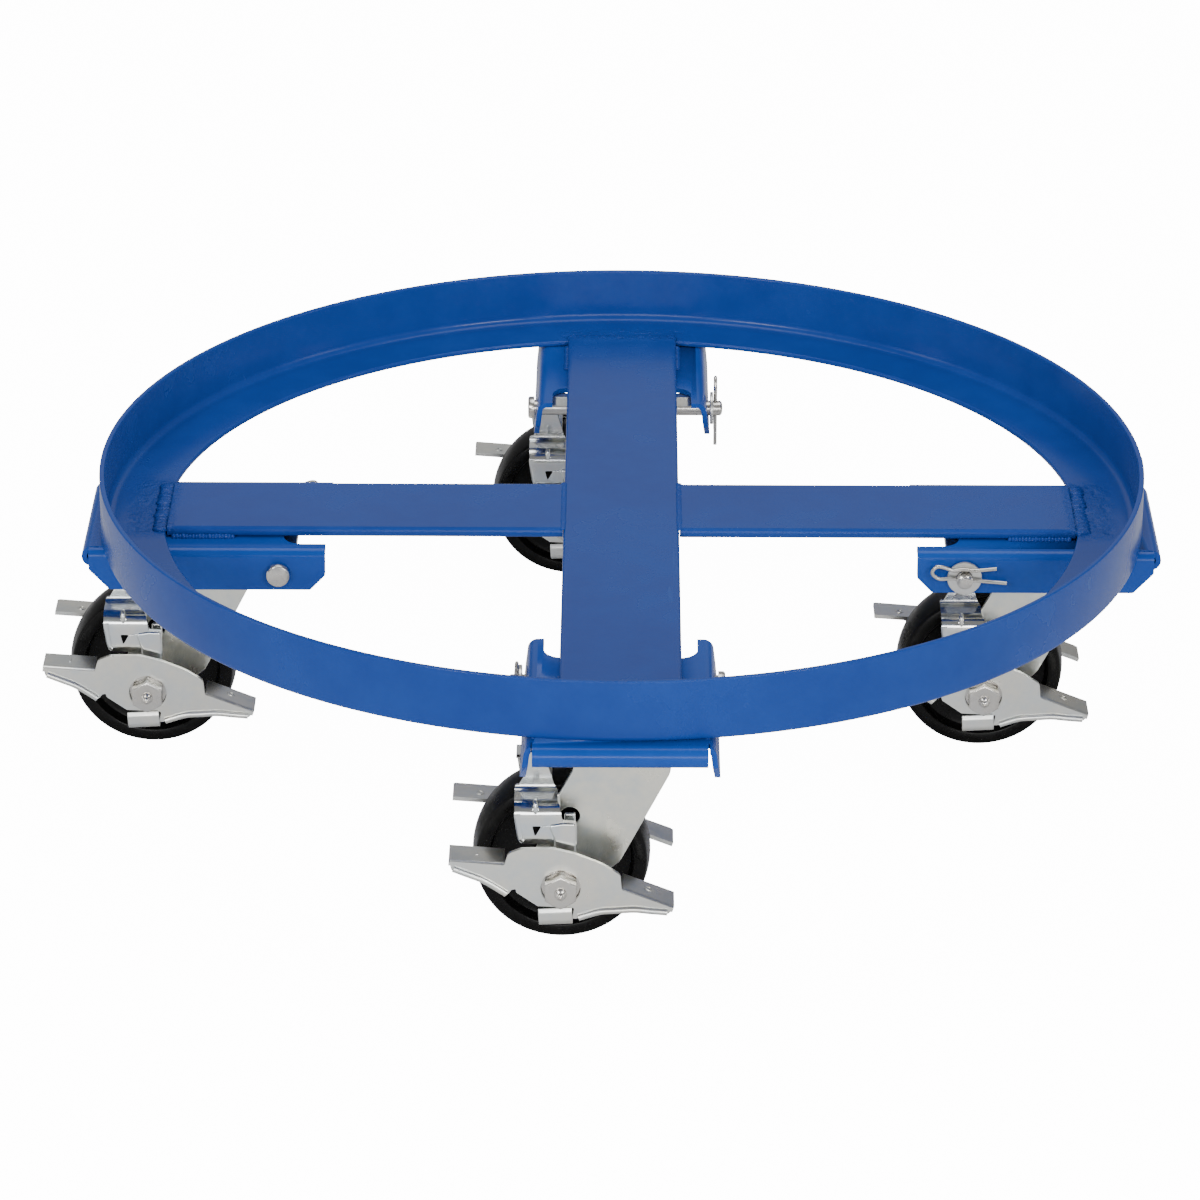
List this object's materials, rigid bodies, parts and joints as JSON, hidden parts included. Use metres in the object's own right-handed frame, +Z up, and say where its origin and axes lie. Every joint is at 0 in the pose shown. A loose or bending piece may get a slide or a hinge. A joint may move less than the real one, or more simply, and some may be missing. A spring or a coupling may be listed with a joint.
{
  "type": "drum dolly",
  "caption": "Round drum dolly: an angle ring on a flat bar cross, on swivel casters with foot brakes, each held by a hooked bracket and a clevis pin.",
  "frame": {"origin": "centre of the cross's top face, where the drum's bottom rests", "axes": "+Z up, square to the drum seat; +Y along the long bar to the back; +X to the right, away from which all four casters trail"},
  "size_m": [0.6662, 0.64, 0.1844],
  "materials": {
    "frame_enamel": "glossy baked blue enamel",
    "bracket_enamel": "glossy baked blue enamel on sheet",
    "zinc_plate": "bright zinc plate with a soft satin grain",
    "zinc_pressing": "bright zinc plate, shinier on its pressed radii",
    "washer_zinc": "zinc plate",
    "bright_steel": "bright machined steel",
    "race_steel": "oiled pressed steel",
    "bearing_steel": "ground steel",
    "spring_wire": "drawn spring wire",
    "wheel_black": "black moulded wheel, satin, with a grey bloom on the tread"
  },
  "bodies": {
    "frame": {"ring": "frame_enamel", "long_bar": "frame_enamel", "left_bar": "frame_enamel", "right_bar": "frame_enamel", "right_bracket": "bracket_enamel", "right_caster_plate": "zinc_plate", "right_kingpin": "bright_steel", "right_swivel_race": "race_steel", "back_bracket": "bracket_enamel", "back_caster_plate": "zinc_plate", "back_kingpin": "bright_steel", "back_swivel_race": "race_steel", "left_bracket": "bracket_enamel", "left_caster_plate": "zinc_plate", "left_kingpin": "bright_steel", "left_swivel_race": "race_steel", "front_bracket": "bracket_enamel", "front_caster_plate": "zinc_plate", "front_kingpin": "bright_steel", "front_swivel_race": "race_steel"},
    "right_yoke": {"right_fork": "zinc_plate", "right_axle": "bright_steel"},
    "right_roller": {"right_wheel": "wheel_black", "right_wheel_bearing": "bearing_steel"},
    "right_levers": {"right_near_brake_lever": "zinc_plate", "right_far_brake_lever": "zinc_plate"},
    "right_shoe": {"right_brake_shoe": "zinc_pressing"},
    "right_pin": {"right_clevis_pin": "bright_steel", "right_pin_washer": "washer_zinc"},
    "right_clip": {"right_hairpin": "spring_wire"},
    "back_yoke": {"back_fork": "zinc_plate", "back_axle": "bright_steel"},
    "back_roller": {"back_wheel": "wheel_black", "back_wheel_bearing": "bearing_steel"},
    "back_levers": {"back_near_brake_lever": "zinc_plate", "back_far_brake_lever": "zinc_plate"},
    "back_shoe": {"back_brake_shoe": "zinc_pressing"},
    "back_pin": {"back_clevis_pin": "bright_steel", "back_pin_washer": "washer_zinc"},
    "back_clip": {"back_hairpin": "spring_wire"},
    "left_yoke": {"left_fork": "zinc_plate", "left_axle": "bright_steel"},
    "left_roller": {"left_wheel": "wheel_black", "left_wheel_bearing": "bearing_steel"},
    "left_levers": {"left_near_brake_lever": "zinc_plate", "left_far_brake_lever": "zinc_plate"},
    "left_shoe": {"left_brake_shoe": "zinc_pressing"},
    "left_pin": {"left_clevis_pin": "bright_steel", "left_pin_washer": "washer_zinc"},
    "left_clip": {"left_hairpin": "spring_wire"},
    "front_yoke": {"front_fork": "zinc_plate", "front_axle": "bright_steel"},
    "front_roller": {"front_wheel": "wheel_black", "front_wheel_bearing": "bearing_steel"},
    "front_levers": {"front_near_brake_lever": "zinc_plate", "front_far_brake_lever": "zinc_plate"},
    "front_shoe": {"front_brake_shoe": "zinc_pressing"},
    "front_pin": {"front_clevis_pin": "bright_steel", "front_pin_washer": "washer_zinc"},
    "front_clip": {"front_hairpin": "spring_wire"}
  },
  "joints": [
    {"name": "right_swivel", "type": "hinge", "parent": "frame", "child": "right_yoke", "pos_m": [0.2504, 0, -0.027], "axis": [0, 0, 1], "continuous": true},
    {"name": "right_wheel_spin", "type": "hinge", "parent": "right_yoke", "child": "right_roller", "pos_m": [0.2174, 0, -0.1019], "axis": [0, 1, 0], "continuous": true},
    {"name": "right_brake", "type": "hinge", "parent": "right_yoke", "child": "right_levers", "pos_m": [0.2174, 0, -0.1019], "axis": [0, -1, 0], "range_deg": [0, 26]},
    {"name": "right_shoe_travel", "type": "slide", "parent": "right_yoke", "child": "right_shoe", "axis": [0.26, 0, -0.9656], "range_m": [0, 0.0025]},
    {"name": "right_pin_turn", "type": "hinge", "parent": "frame", "child": "right_pin", "pos_m": [0.2032, 0, -0.02086], "axis": [0, 1, 0], "continuous": true},
    {"name": "right_clip_pull", "type": "slide", "parent": "right_pin", "child": "right_clip", "axis": [-0.9962, 0, 0.0872], "range_m": [0, 0.035]},
    {"name": "back_swivel", "type": "hinge", "parent": "frame", "child": "back_yoke", "pos_m": [0, 0.2504, -0.027], "axis": [0, 0, 1], "continuous": true},
    {"name": "back_wheel_spin", "type": "hinge", "parent": "back_yoke", "child": "back_roller", "pos_m": [-0.033, 0.2504, -0.1019], "axis": [0, 1, 0], "continuous": true},
    {"name": "back_brake", "type": "hinge", "parent": "back_yoke", "child": "back_levers", "pos_m": [-0.033, 0.2504, -0.1019], "axis": [0, -1, 0], "range_deg": [0, 26]},
    {"name": "back_shoe_travel", "type": "slide", "parent": "back_yoke", "child": "back_shoe", "axis": [0.26, 0, -0.9656], "range_m": [0, 0.0025]},
    {"name": "back_pin_turn", "type": "hinge", "parent": "frame", "child": "back_pin", "pos_m": [0, 0.2032, -0.02086], "axis": [-1, 0, 0], "continuous": true},
    {"name": "back_clip_pull", "type": "slide", "parent": "back_pin", "child": "back_clip", "axis": [0, 0, 1], "range_m": [0, 0.035]},
    {"name": "left_swivel", "type": "hinge", "parent": "frame", "child": "left_yoke", "pos_m": [-0.2504, 0, -0.027], "axis": [0, 0, 1], "continuous": true},
    {"name": "left_wheel_spin", "type": "hinge", "parent": "left_yoke", "child": "left_roller", "pos_m": [-0.2834, 0, -0.1019], "axis": [0, 1, 0], "continuous": true},
    {"name": "left_brake", "type": "hinge", "parent": "left_yoke", "child": "left_levers", "pos_m": [-0.2834, 0, -0.1019], "axis": [0, -1, 0], "range_deg": [0, 26]},
    {"name": "left_shoe_travel", "type": "slide", "parent": "left_yoke", "child": "left_shoe", "axis": [0.26, 0, -0.9656], "range_m": [0, 0.0025]},
    {"name": "left_pin_turn", "type": "hinge", "parent": "frame", "child": "left_pin", "pos_m": [-0.2032, 0, -0.02086], "axis": [0, -1, 0], "continuous": true},
    {"name": "left_clip_pull", "type": "slide", "parent": "left_pin", "child": "left_clip", "axis": [0.9781, 0, 0.2079], "range_m": [0, 0.035]},
    {"name": "front_swivel", "type": "hinge", "parent": "frame", "child": "front_yoke", "pos_m": [0, -0.2504, -0.027], "axis": [0, 0, 1], "continuous": true},
    {"name": "front_wheel_spin", "type": "hinge", "parent": "front_yoke", "child": "front_roller", "pos_m": [-0.033, -0.2504, -0.1019], "axis": [0, 1, 0], "continuous": true},
    {"name": "front_brake", "type": "hinge", "parent": "front_yoke", "child": "front_levers", "pos_m": [-0.033, -0.2504, -0.1019], "axis": [0, -1, 0], "range_deg": [0, 26]},
    {"name": "front_shoe_travel", "type": "slide", "parent": "front_yoke", "child": "front_shoe", "axis": [0.26, 0, -0.9656], "range_m": [0, 0.0025]},
    {"name": "front_pin_turn", "type": "hinge", "parent": "frame", "child": "front_pin", "pos_m": [0, -0.2032, -0.02086], "axis": [1, 0, 0], "continuous": true},
    {"name": "front_clip_pull", "type": "slide", "parent": "front_pin", "child": "front_clip", "axis": [0, 0.9848, -0.1736], "range_m": [0, 0.035]}
  ],
  "couplings": [
    {"joint": "right_shoe_travel", "follows": "right_brake", "m_per_rad": 0.0055},
    {"joint": "back_shoe_travel", "follows": "back_brake", "m_per_rad": 0.0055},
    {"joint": "left_shoe_travel", "follows": "left_brake", "m_per_rad": 0.0055},
    {"joint": "front_shoe_travel", "follows": "front_brake", "m_per_rad": 0.0055}
  ]
}
